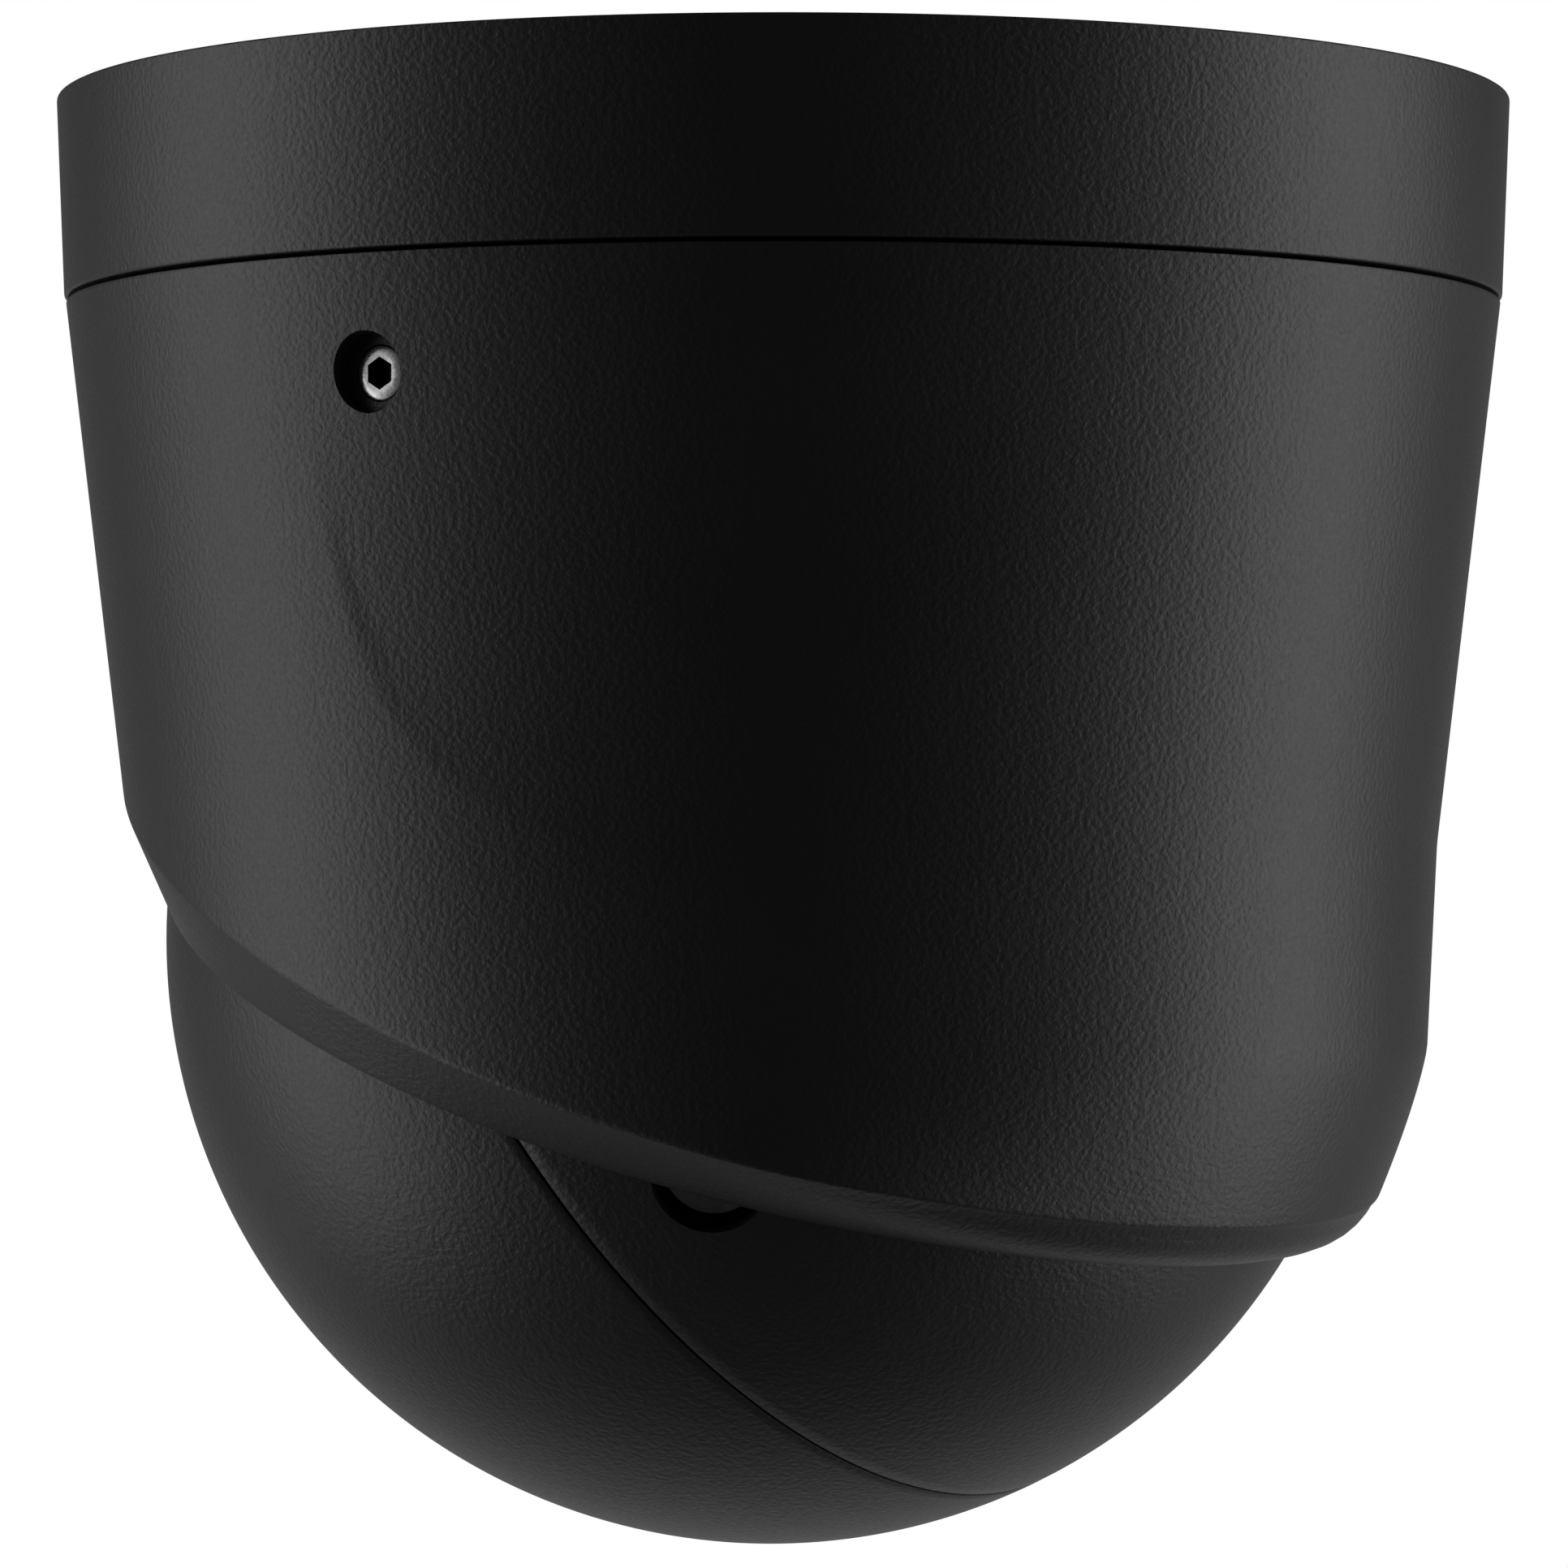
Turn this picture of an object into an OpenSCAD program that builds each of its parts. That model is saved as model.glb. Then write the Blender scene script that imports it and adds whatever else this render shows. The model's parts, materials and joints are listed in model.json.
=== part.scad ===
// Ceiling turret camera: fixed base, panning trim ring and a three-axis camera ball.
// Millimetres. Origin at the centre of the mounting face, +Z up, lens side towards -Y at rest.

/* [Base] */
// Outer diameter of the base at the mounting face
base_diameter = 110; // [109:0.5:112]
// Height of the base ring
base_height = 15; // [14.9:0.1:15]
// Diameter of the circle that the ceiling screws sit on
ceiling_screw_circle = 70; // [66:1:74]
// Diameter of a ceiling screw hole
ceiling_screw_hole = 4.6; // [4:0.1:5]
// Bore of the cable grommet
grommet_bore = 8; // [7:0.5:10]

/* [Trim ring] */
// Outer radius of the trim ring at its top edge
trim_top_radius = 54.3; // [54:0.1:54.4]
// Inward taper of the trim ring wall, in degrees
trim_taper = 6.65; // [6.5:0.05:6.8]
// Wall of the trim ring
trim_wall = 3.2; // [3.1:0.05:3.3]
// Tilt of the slanted opening, in degrees
lip_tilt = 17.5; // [17:0.5:18.5]
// Diameter of the recess around the set screw
set_screw_recess = 5.8; // [5.6:0.1:6]

/* [Ball] */
// Radius of the camera ball
ball_radius = 45.9; // [45.85:0.01:45.92]
// Angle of the lens axis below the horizontal, in degrees
lens_down = 27.9; // [20:1:40]
// Diameter of the pocket around each shell screw
shell_screw_pocket = 8.4; // [8:0.1:8.6]

/* [Window and lens] */
// Radius of the front window
window_radius = 18.5; // [18.3:0.1:18.6]
// Outer radius of the lens barrel
lens_radius = 7; // [6.8:0.05:7]
// Number of lamps around the lens
lamp_count = 6; // [4:1:8]

/* [Hidden] */
$fn = 96;
overlap = 0.01;
small_round = 32;
ball_round = 160;
cavity_round = 128;
// Longer than any part, for cutting tools
reach = 60;

black = [0.055, 0.055, 0.06];
rubber_black = [0.03, 0.03, 0.03];
steel = [0.62, 0.62, 0.64];
brass_tone = [0.72, 0.58, 0.30];
alloy = [0.55, 0.56, 0.58];
board_green = [0.05, 0.22, 0.12];
white_plastic = [0.85, 0.85, 0.83];

// Base
base_radius = base_diameter / 2;
base_draft = 0.57;
plate_thickness = 3;
plate_edge_radius = base_radius - base_draft * plate_thickness / base_height;
ceiling_boss_wall = 2.5;
ceiling_boss_bottom = -5;
ceiling_screw_angles = [90, 210, 330];
skirt_inner_radius = 51.6;
collar_outer_radius = 49.3;
collar_inner_radius = 44.5;
collar_bottom = -27;
grommet_hole_radius = 11;
grommet_lip = 2.5;
grommet_gap = 0.05;
gasket_inner_radius = 50.2;
gasket_outer_radius = 53;
gasket_depth = 1;
gasket_gap = 0.1;
retainer_flange_top = -29.6;
retainer_bottom = -31.6;
retainer_spigot_radius = 47.7;
retainer_flange_radius = 49;
retainer_screw_circle_radius = 46.1;
retainer_screw_angles = [45, 135, 225, 315];
retainer_screw_radius = 0.9;
retainer_head_radius = 1.5;
retainer_head_height = 1.3;
retainer_screw_depth = 8;
retainer_hole_depth = 8.5;
glide_gap = 0.05;
fastener_gap = 0.05;

// Hexagon drives of the screws, as corner radii
tiny_drive = 0.8;
small_drive = 0.9;
shell_drive = 1.45;

// Trim ring
trim_top = -15.3;
trim_bottom = -91;
hollow_rise = 5;
hollow_bottom = -90.3;
trim_slope = tan(trim_taper);
rib_top = -27.3;
rib_bottom = -29;
rib_inner_radius = 48;
lip_cone_tilt = 24.9;
lip_cone_offset = 3.68;
lip_cone_height = 9.66;
lip_cone_radius = 45;
lip_cone_slope = 0.984;
cavity_gap = 0.1;
step_plane = -5;
seal_start = -2;
seal_end = 0;
seal_outer_radius = 47.35;
seal_gap = 0.05;
seal_cut_radius = 40;
saddle_top = -34.8;
saddle_bottom = -39;
saddle_outer_radius = 48.15;
saddle_inner_radius = 36.5;
saddle_gap = 0.05;
saddle_cut = 10;
saddle_screw_circle_radius = 46.3;
saddle_screw_angles = [30, 150, 270];
saddle_screw_radius = 0.9;
saddle_head_radius = 1.6;
saddle_head_height = 1.2;
saddle_slot_angle = 26;
saddle_slot_width = 16;
boss_bottom = -44.3;
boss_hole_floor = 0.4;
boss_screw_floor = 0.9;
boss_radius = 2.4;

// Set screw, square to the wall and just in front of +X
set_screw_height = -23.35;
set_screw_heading = -1.4;
set_screw_radius = 1.95;
set_screw_inner = 50.1;
set_screw_length = 1.7;
set_screw_socket = 2;
set_screw_socket_depth = 1;
set_screw_chamfer = 0.25;
set_screw_end = set_screw_inner + set_screw_length;
screw_cut_start = 40;
recess_floor_gap = 0.15;
tip_gap = 0.02;
screw_tip_radius = 1.2;
screw_tip_start = 49.35;
insert_radius = 2.75;
insert_start = 50.1;
insert_end = 51.55;
insert_bore = 2;

// Ball, along the lens axis from the ball centre
ball_centre = [0, -1.1, -63.2];
cavity_radius = ball_radius + cavity_gap;
shell_inner_radius = 43;
seam_front = 1.16;
seam_rear = 0.96;
shell_seal_radius = 44.2;
shell_seal_section = 0.5;
shell_screw_angles = [90, 210, 330];
shell_screw_back = 11.5;
shell_screw_radius = 1.4;
shell_head_radius = 3.4;
shell_head_height = 1.8;
shell_screw_tip = 37.4;
pocket_floor = 42.4;
pocket_wall = 1.2;
pocket_end = 41;
seal_groove_half = 0.6;
seal_groove_depth = 0.95;
shell_seal_sink = 0.35;
lug_radius = 5;
lug_start = 36.9;
lug_end = 40.9;
lug_arm = 2;
lug_back = -9.15;
lug_front = 7;
lug_root = 43.5;
lug_lift = 0.14;

// Rear gland
gland_stem_radius = 6.8;
gland_hole_radius = 6.9;
gland_head_radius = 9.1;
gland_counterbore_radius = 9.3;
gland_floor = -43.3;
gland_pad_radius = 11.5;
gland_pad_end = -40;
gland_bore = 5;
gland_seal_thickness = 0.6;
gland_seal_gap = 0.1;
gland_stem_end = -35.5;
gland_outer_end = -46;
gland_sink = 0.1;
gland_nut_height = 3.2;
gland_nut_radius = 10;
gland_insert_radius = 4.95;
gland_insert_bore = 2.6;
gland_insert_outer_end = -45.2;
gland_insert_inner_end = -37;

// Window
seat_low = 35.3;
seat_high = 37.2;
seat_bore = 15.9;
bezel_outer_radius = 20.6;
bezel_front = 41.4;
bezel_lip_radius = 17.6;
glass_low = 38.2;
glass_high = 40.2;
gasket_bore = 16.6;
seat_cut_start = 20;
seat_gap = 0.1;
glass_gap = 0.05;

// Lens
barrel_low = 13;
barrel_high = 34;
barrel_bore = 4.4;
lens_seat_radius = 5.6;
lens_edge_radius = 5.55;
front_lens_low = 31.2;
rear_lens_low = 13.5;
rear_lens_high = 16.5;
lens_curve_centre = 24;
front_lens_curve = 9.7;
rear_lens_curve = 10.3;
lens_gap = 0.05;
hood_low = 30;
hood_step = 33.4;
hood_radius = 9;
hood_rim_radius = 9.6;
hood_mouth_radius = 8.8;
mount_side = 18;
mount_flange = 3;
mount_height = 13;
mount_tube_radius = 9.4;
mount_floor = 2.5;
mount_window = [13, 11, 4];
sensor_size = [12, 10, 1.6];

// Inside the ball
chassis_radius = 36.6;
chassis_low = 3;
chassis_high = 5;
post_circle_radius = 33;
post_angles = [30, 150, 270];
post_radius = 3;
post_end = 28.5;
post_hole_depth = 7;
m2_tap_radius = 1.05;
m2_clear_radius = 1.15;
m2_shank_radius = 1;
m2_head_radius = 2;
m2_head_height = 1.6;
fin_length = 24;
fin_thickness = 1.6;
fin_height = 2.4;
fin_rows = [-26.5, -20.5, 20.5, 26.5];
fin_cable_hole = 4;
fin_cable_place = 20;
sensor_board_low = 8.2;
sensor_board_high = 9.8;
sensor_board_radius = 19;
sensor_post_circle_radius = 15.8;
sensor_post_angles = [0, 120, 240];
lamp_board_low = 33.6;
lamp_board_high = 34.8;
lamp_board_inner = 9.9;
lamp_board_outer = 15.4;
lamp_circle_radius = 12.7;
lamp_size = 3;
lamp_dome_radius = 1.25;
lamp_case_height = 0.8;
lamp_post_radius = 1.3;
lamp_post_angles = [30, 150, 270];
standoff_radius = 2.3;
sensor_head_radius = 1.9;
sensor_head_height = 1.5;
screw_short = 0.2;
main_board_low = -3;
main_board_high = -1.4;
main_board_radius = 30;
board_post_circle_radius = 26;
board_post_angles = [60, 120, 240, 300];
board_standoff_radius = 2.5;
board_screw_radius = 1.1;
board_head_radius = 2.1;
processor_side = 16;
processor_top = 0.2;
pad_side = 14;
connector_size = [8, 5, 5];
connector_place = [13, 8];
card_slot_size = [15, 15, 1.9];
card_slot_place = [-7.5, -20];

// Places its children at the ball centre with +Z along the lens axis
module on_lens_axis() {
  translate(ball_centre) rotate([90 + lens_down, 0, 0]) children();
}

// Places its children at the ball centre with +Z out through the slanted opening
module on_lip_axis() {
  translate(ball_centre) rotate([180 - lip_tilt, 0, 0]) children();
}

// Places its children at the height of the set screw with +Z outwards along it
module on_set_screw_axis() {
  rotate([0, 0, set_screw_heading]) translate([0, 0, set_screw_height]) rotate([0, 90, 0]) children();
}

// Places its children at the ball centre with +Z outwards along each shell screw
module on_shell_screw_axes() {
  for (angle = shell_screw_angles) rotate([0, 0, angle]) rotate([0, 90 + shell_screw_back, 0]) children();
}

// Copies its children around the local Z axis at a radius
module around(radius, angles) {
  for (angle = angles) rotate([0, 0, angle]) translate([radius, 0, 0]) children();
}

// A plain tube between two heights
module tube(outer, inner, low, high) {
  difference() {
    translate([0, 0, low]) cylinder(h = high - low, r = outer);
    translate([0, 0, low - 1]) cylinder(h = high - low + 2, r = inner);
  }
}

// A round bar between two heights
module bar(radius, low, high) {
  translate([0, 0, low]) cylinder(h = high - low, r = radius, $fn = small_round);
}

// A pan-head screw: head from the seat downwards, shank upwards
module head_down_screw(shank, head, head_height, seat, tip, drive) {
  difference() {
    union() {
      bar(head, seat - head_height, seat);
      bar(shank, seat - overlap, tip);
    }
    translate([0, 0, seat - head_height - 1]) cylinder(h = 1 + head_height * 0.6, r = drive, $fn = 6);
  }
}

// A pan-head screw: head from the seat upwards, shank downwards
module head_up_screw(shank, head, head_height, seat, tip, drive) {
  difference() {
    union() {
      bar(head, seat, seat + head_height);
      bar(shank, tip, seat + overlap);
    }
    translate([0, 0, seat + head_height * 0.4]) cylinder(h = 1 + head_height, r = drive, $fn = 6);
  }
}

// The tapered wall as a solid cone, with an inset from the outside
module trim_cone(inset, bottom, top) {
  length = top - bottom;
  top_radius = trim_top_radius - inset + (top - trim_top) * trim_slope;
  translate([0, 0, bottom])
    cylinder(h = length, r1 = top_radius - length * trim_slope, r2 = top_radius);
}

// The tilted cone that shapes the lip band
module lip_cone() {
  start = -reach;
  start_radius = lip_cone_radius + (lip_cone_height - start) / lip_cone_slope;
  translate(ball_centre) rotate([180 - lip_cone_tilt, 0, 0]) translate([0, lip_cone_offset, start])
    cylinder(h = start_radius * lip_cone_slope, r1 = start_radius, r2 = 0);
}

module base_housing() {
  color(black) difference() {
    union() {
      translate([0, 0, -plate_thickness])
        cylinder(h = plate_thickness, r1 = plate_edge_radius, r2 = base_radius);
      difference() {
        translate([0, 0, -base_height])
          cylinder(h = base_height - plate_thickness + overlap,
                   r1 = base_radius - base_draft, r2 = plate_edge_radius);
        translate([0, 0, -base_height - 1]) cylinder(h = base_height, r = skirt_inner_radius);
      }
      tube(collar_outer_radius, collar_inner_radius, collar_bottom, -plate_thickness + overlap);
      around(ceiling_screw_circle / 2, ceiling_screw_angles)
        bar(ceiling_screw_hole / 2 + ceiling_boss_wall, ceiling_boss_bottom, -1);
    }
    translate([0, 0, -reach]) cylinder(h = 2 * reach, r = grommet_hole_radius);
    around(ceiling_screw_circle / 2, ceiling_screw_angles) bar(ceiling_screw_hole / 2, -reach, reach);
    tube(gasket_outer_radius, gasket_inner_radius, -gasket_depth, 5);
    around(retainer_screw_circle_radius, retainer_screw_angles)
      bar(retainer_screw_radius + fastener_gap, collar_bottom - 1, collar_bottom + retainer_hole_depth);
  }
}

module wall_gasket() {
  color(rubber_black)
    tube(gasket_outer_radius - gasket_gap, gasket_inner_radius + gasket_gap, -gasket_depth, 0);
}

module cable_grommet() {
  low = -plate_thickness - grommet_lip;
  color(rubber_black) difference() {
    union() {
      bar(grommet_hole_radius - grommet_gap, low, 0);
      bar(grommet_hole_radius + grommet_lip, low, -plate_thickness - grommet_gap);
    }
    bar(grommet_bore / 2, -reach, reach);
  }
}

module retainer_ring() {
  color(steel) difference() {
    union() {
      tube(retainer_spigot_radius, collar_inner_radius, retainer_flange_top - overlap, collar_bottom);
      tube(retainer_flange_radius, collar_inner_radius, retainer_bottom, retainer_flange_top);
    }
    around(retainer_screw_circle_radius, retainer_screw_angles) {
      bar(retainer_screw_radius + fastener_gap, retainer_bottom - 1, 0);
      bar(retainer_head_radius + fastener_gap, retainer_bottom - 1, retainer_bottom + retainer_head_height);
    }
  }
}

module retainer_screws() {
  color(steel) around(retainer_screw_circle_radius, retainer_screw_angles)
    head_down_screw(retainer_screw_radius, retainer_head_radius, retainer_head_height,
                    retainer_bottom + retainer_head_height, collar_bottom + retainer_screw_depth, tiny_drive);
}

module glide_ring() {
  color(white_plastic)
    tube(retainer_flange_radius, retainer_spigot_radius + 2 * glide_gap,
         retainer_flange_top, rib_bottom - glide_gap);
}

module trim_ring() {
  color(black) difference() {
    union() {
      difference() {
        intersection() {
          trim_cone(0, trim_bottom, trim_top);
          lip_cone();
        }
        intersection() {
          trim_cone(trim_wall, hollow_bottom, trim_top + hollow_rise);
          on_lip_axis() translate([0, 0, step_plane - 2 * reach]) cylinder(h = 2 * reach, r = 2 * reach);
        }
      }
      tube(trim_top_radius - trim_wall, rib_inner_radius, rib_bottom, rib_top);
      around(saddle_screw_circle_radius, saddle_screw_angles) bar(boss_radius, boss_bottom, saddle_bottom);
    }
    translate(ball_centre) sphere(r = cavity_radius, $fn = cavity_round);
    on_lip_axis() tube(seal_outer_radius, seal_cut_radius, seal_start, seal_end);
    around(saddle_screw_circle_radius, saddle_screw_angles)
      bar(saddle_screw_radius + fastener_gap, boss_bottom + boss_hole_floor, saddle_bottom + 1);
    on_set_screw_axis() {
      bar(insert_radius + fastener_gap, screw_cut_start, insert_end);
      bar(set_screw_radius + fastener_gap, screw_cut_start, reach);
      bar(set_screw_recess / 2, insert_end + recess_floor_gap, reach);
    }
  }
}

module ball_saddle() {
  color(white_plastic) difference() {
    translate([0, 0, saddle_bottom]) cylinder(h = saddle_top - saddle_bottom, r = saddle_outer_radius);
    translate(ball_centre) sphere(r = ball_radius + saddle_gap, $fn = cavity_round);
    translate([0, 0, saddle_bottom - 1]) cylinder(h = saddle_cut, r = saddle_inner_radius);
    for (side = [-1, 0, 1]) translate([0, 0, saddle_bottom - 1])
      rotate([0, 0, 90 + side * saddle_slot_angle / 2]) translate([0, -saddle_slot_width / 2, 0])
        cube([reach, saddle_slot_width, saddle_cut]);
    around(saddle_screw_circle_radius, saddle_screw_angles)
      bar(saddle_screw_radius + fastener_gap, saddle_bottom - 1, saddle_top + 1);
  }
}

module saddle_screws() {
  color(steel) around(saddle_screw_circle_radius, saddle_screw_angles)
    head_up_screw(saddle_screw_radius, saddle_head_radius, saddle_head_height,
                  saddle_top, boss_bottom + boss_screw_floor, tiny_drive);
}

module lip_seal() {
  color(rubber_black) on_lip_axis() tube(seal_outer_radius, ball_radius + seal_gap, seal_start, seal_end);
}

module screw_insert() {
  color(brass_tone) on_set_screw_axis() tube(insert_radius, insert_bore, insert_start, insert_end);
}

module screw_tip() {
  color(white_plastic) on_set_screw_axis()
    bar(screw_tip_radius, screw_tip_start, set_screw_inner - tip_gap);
}

module set_screw() {
  color(steel) on_set_screw_axis() difference() {
    union() {
      bar(set_screw_radius, set_screw_inner, set_screw_end - set_screw_chamfer);
      translate([0, 0, set_screw_end - set_screw_chamfer])
        cylinder(h = set_screw_chamfer, r1 = set_screw_radius, r2 = set_screw_radius - set_screw_chamfer,
                 $fn = small_round);
    }
    translate([0, 0, set_screw_end - set_screw_socket_depth])
      cylinder(h = set_screw_socket_depth + 1, r = set_screw_socket / 2 / cos(30), $fn = 6);
  }
}

module gland_insert() {
  color(rubber_black) on_lens_axis()
    tube(gland_insert_radius, gland_insert_bore, gland_insert_outer_end, gland_insert_inner_end);
}

module gland_body() {
  color(steel) on_lens_axis() intersection() {
    difference() {
      union() {
        translate([0, 0, gland_outer_end])
          cylinder(h = gland_floor - gland_seal_thickness - gland_outer_end, r = gland_head_radius);
        translate([0, 0, gland_outer_end + 1])
          cylinder(h = gland_stem_end - gland_outer_end - 1, r = gland_stem_radius);
      }
      translate([0, 0, -reach]) cylinder(h = reach, r = gland_bore);
    }
    sphere(r = ball_radius - gland_sink, $fn = cavity_round);
  }
}

module gland_seal() {
  color(rubber_black) on_lens_axis()
    tube(gland_head_radius - gland_seal_gap, gland_stem_radius + gland_seal_gap,
         gland_floor - gland_seal_thickness, gland_floor);
}

module gland_nut() {
  color(steel) on_lens_axis() difference() {
    translate([0, 0, gland_pad_end]) cylinder(h = gland_nut_height, r = gland_nut_radius, $fn = 6);
    translate([0, 0, gland_pad_end - 1])
      cylinder(h = gland_nut_height + 2, r = gland_stem_radius + fastener_gap);
  }
}

// The lugs of the front shell that reach back under the rear shell and take its screws
module shell_lugs() {
  on_shell_screw_axes() bar(lug_radius, lug_start, lug_end);
  for (angle = shell_screw_angles) rotate([0, 0, angle]) {
    translate([lug_start, -lug_radius, lug_back]) cube([lug_arm, 2 * lug_radius, lug_front - lug_back]);
    translate([lug_start, -lug_radius, seam_front + lug_lift])
      cube([lug_root - lug_start, 2 * lug_radius, lug_front - seam_front - lug_lift]);
  }
}

module ball_front_shell() {
  color(black) on_lens_axis() difference() {
    union() {
      intersection() {
        sphere(r = ball_radius, $fn = ball_round);
        translate([0, 0, seam_front]) cylinder(h = reach, r = reach);
        union() {
          difference() {
            translate([0, 0, -reach]) cylinder(h = 2 * reach, r = reach);
            difference() {
              sphere(r = shell_inner_radius, $fn = cavity_round);
              translate([0, 0, seat_low]) cylinder(h = reach, r = reach);
            }
          }
          around(post_circle_radius, post_angles) bar(post_radius, chassis_high, post_end);
        }
      }
      shell_lugs();
    }
    translate([0, 0, seat_high]) cylinder(h = reach, r = bezel_outer_radius + seat_gap);
    translate([0, 0, seat_cut_start]) cylinder(h = reach, r = seat_bore);
    on_shell_screw_axes() bar(shell_screw_radius + fastener_gap, lug_start - 1, lug_end + 1);
    around(post_circle_radius, post_angles)
      bar(m2_tap_radius, chassis_high - 1, chassis_high + post_hole_depth);
  }
}

module ball_rear_shell() {
  color(black) on_lens_axis() difference() {
    intersection() {
      sphere(r = ball_radius, $fn = ball_round);
      translate([0, 0, seam_rear - reach]) cylinder(h = reach, r = reach);
      union() {
        difference() {
          translate([0, 0, -reach]) cylinder(h = 2 * reach, r = reach);
          sphere(r = shell_inner_radius, $fn = cavity_round);
        }
        on_shell_screw_axes() bar(shell_screw_pocket / 2 + pocket_wall, pocket_end, reach);
        translate([0, 0, -reach]) cylinder(h = reach + gland_pad_end, r = gland_pad_radius);
      }
    }
    on_shell_screw_axes() {
      bar(shell_screw_pocket / 2, pocket_floor, reach);
      bar(shell_screw_radius + fastener_gap, pocket_end - 1, pocket_floor + 1);
    }
    tube(shell_seal_radius + seal_groove_half, shell_seal_radius - seal_groove_half,
         seam_rear - seal_groove_depth, seam_rear + 1);
    translate([0, 0, -reach]) cylinder(h = reach, r = gland_hole_radius);
    translate([0, 0, gland_floor - reach]) cylinder(h = reach, r = gland_counterbore_radius);
  }
}

module shell_seal() {
  color(rubber_black) on_lens_axis() translate([0, 0, seam_rear - shell_seal_sink])
    rotate_extrude() translate([shell_seal_radius, 0]) circle(r = shell_seal_section, $fn = 24);
}

module shell_screws() {
  color(steel) on_lens_axis() on_shell_screw_axes()
    head_up_screw(shell_screw_radius, shell_head_radius, shell_head_height,
                  pocket_floor, shell_screw_tip, shell_drive);
}

module front_bezel() {
  color(black) on_lens_axis() intersection() {
    difference() {
      translate([0, 0, seat_high]) cylinder(h = bezel_front - seat_high, r = bezel_outer_radius);
      translate([0, 0, seat_high - 1])
        cylinder(h = 1 + glass_high + glass_gap - seat_high, r = window_radius + glass_gap);
      translate([0, 0, seat_high]) cylinder(h = reach, r = bezel_lip_radius);
    }
    sphere(r = ball_radius, $fn = cavity_round);
  }
}

module window_glass() {
  color([0.1, 0.1, 0.12, 0.4]) on_lens_axis() bar(window_radius, glass_low, glass_high);
}

module window_gasket() {
  color(rubber_black) on_lens_axis() tube(window_radius, gasket_bore, seat_high, glass_low);
}

module lens_hood() {
  color(rubber_black) on_lens_axis() difference() {
    union() {
      translate([0, 0, hood_low]) cylinder(h = hood_step - hood_low, r = hood_radius);
      translate([0, 0, hood_step - overlap])
        cylinder(h = glass_low - hood_step + overlap, r1 = hood_radius, r2 = hood_rim_radius);
    }
    translate([0, 0, hood_low - 1]) cylinder(h = barrel_high - hood_low + 1, r = lens_radius + lens_gap);
    translate([0, 0, barrel_high - overlap]) cylinder(h = 5, r1 = lens_radius, r2 = hood_mouth_radius);
  }
}

module lens_barrel() {
  color(black) on_lens_axis() difference() {
    translate([0, 0, barrel_low]) cylinder(h = barrel_high - barrel_low, r = lens_radius);
    cylinder(h = reach, r = barrel_bore);
    translate([0, 0, front_lens_low]) cylinder(h = reach, r = lens_seat_radius);
    cylinder(h = rear_lens_high, r = lens_seat_radius);
  }
}

module front_lens() {
  color([0.3, 0.35, 0.5, 0.4]) on_lens_axis() intersection() {
    bar(lens_edge_radius, front_lens_low, barrel_high);
    translate([0, 0, lens_curve_centre]) sphere(r = front_lens_curve, $fn = 64);
  }
}

module rear_lens() {
  color([0.3, 0.35, 0.5, 0.4]) on_lens_axis() intersection() {
    bar(lens_edge_radius, rear_lens_low, rear_lens_high);
    translate([0, 0, lens_curve_centre]) sphere(r = rear_lens_curve, $fn = 64);
  }
}

module lens_mount() {
  color(black) on_lens_axis() difference() {
    union() {
      translate([-mount_side / 2, -mount_side / 2, sensor_board_high])
        cube([mount_side, mount_side, mount_flange]);
      translate([0, 0, sensor_board_high]) cylinder(h = mount_height, r = mount_tube_radius);
    }
    translate([0, 0, sensor_board_high + mount_floor]) cylinder(h = reach, r = lens_radius + lens_gap);
    translate([-mount_window.x / 2, -mount_window.y / 2, sensor_board_high - 1]) cube(mount_window);
  }
}

module image_sensor() {
  color([0.12, 0.13, 0.2]) on_lens_axis()
    translate([-sensor_size.x / 2, -sensor_size.y / 2, sensor_board_high]) cube(sensor_size);
}

module sensor_board() {
  color(board_green) on_lens_axis() difference() {
    bar(sensor_board_radius, sensor_board_low, sensor_board_high);
    around(sensor_post_circle_radius, sensor_post_angles) bar(m2_tap_radius, 0, reach);
  }
}

module sensor_standoffs() {
  color(brass_tone) on_lens_axis() around(sensor_post_circle_radius, sensor_post_angles) difference() {
    translate([0, 0, chassis_high])
      cylinder(h = sensor_board_low - chassis_high, r = standoff_radius, $fn = 6);
    bar(m2_tap_radius, 0, reach);
  }
}

module sensor_screws() {
  color(steel) on_lens_axis() around(sensor_post_circle_radius, sensor_post_angles)
    head_up_screw(m2_shank_radius, sensor_head_radius, sensor_head_height,
                  sensor_board_high, chassis_high + screw_short, small_drive);
}

module lamp_board() {
  color(board_green) on_lens_axis() tube(lamp_board_outer, lamp_board_inner, lamp_board_low, lamp_board_high);
}

module lamps() {
  color([0.9, 0.85, 0.5]) on_lens_axis()
    around(lamp_circle_radius, [for (index = [0 : lamp_count - 1]) index * 360 / lamp_count]) union() {
      translate([-lamp_size / 2, -lamp_size / 2, lamp_board_high])
        cube([lamp_size, lamp_size, lamp_case_height]);
      intersection() {
        translate([0, 0, lamp_board_high + lamp_case_height])
          sphere(r = lamp_dome_radius, $fn = small_round);
        bar(lamp_size, lamp_board_high + lamp_case_height / 2, lamp_board_high + lamp_size);
      }
    }
}

module lamp_posts() {
  color(white_plastic) on_lens_axis() around(lamp_circle_radius, lamp_post_angles)
    bar(lamp_post_radius, sensor_board_high, lamp_board_low);
}

module chassis_plate() {
  color(alloy) on_lens_axis() difference() {
    union() {
      bar(chassis_radius, chassis_low, chassis_high);
      for (row = fin_rows) translate([-fin_length / 2, row, chassis_high - overlap])
        cube([fin_length, fin_thickness, fin_height]);
    }
    around(post_circle_radius, post_angles) bar(m2_clear_radius, 0, reach);
    translate([fin_cable_place, 0, 0]) bar(fin_cable_hole, 0, reach);
  }
}

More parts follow.
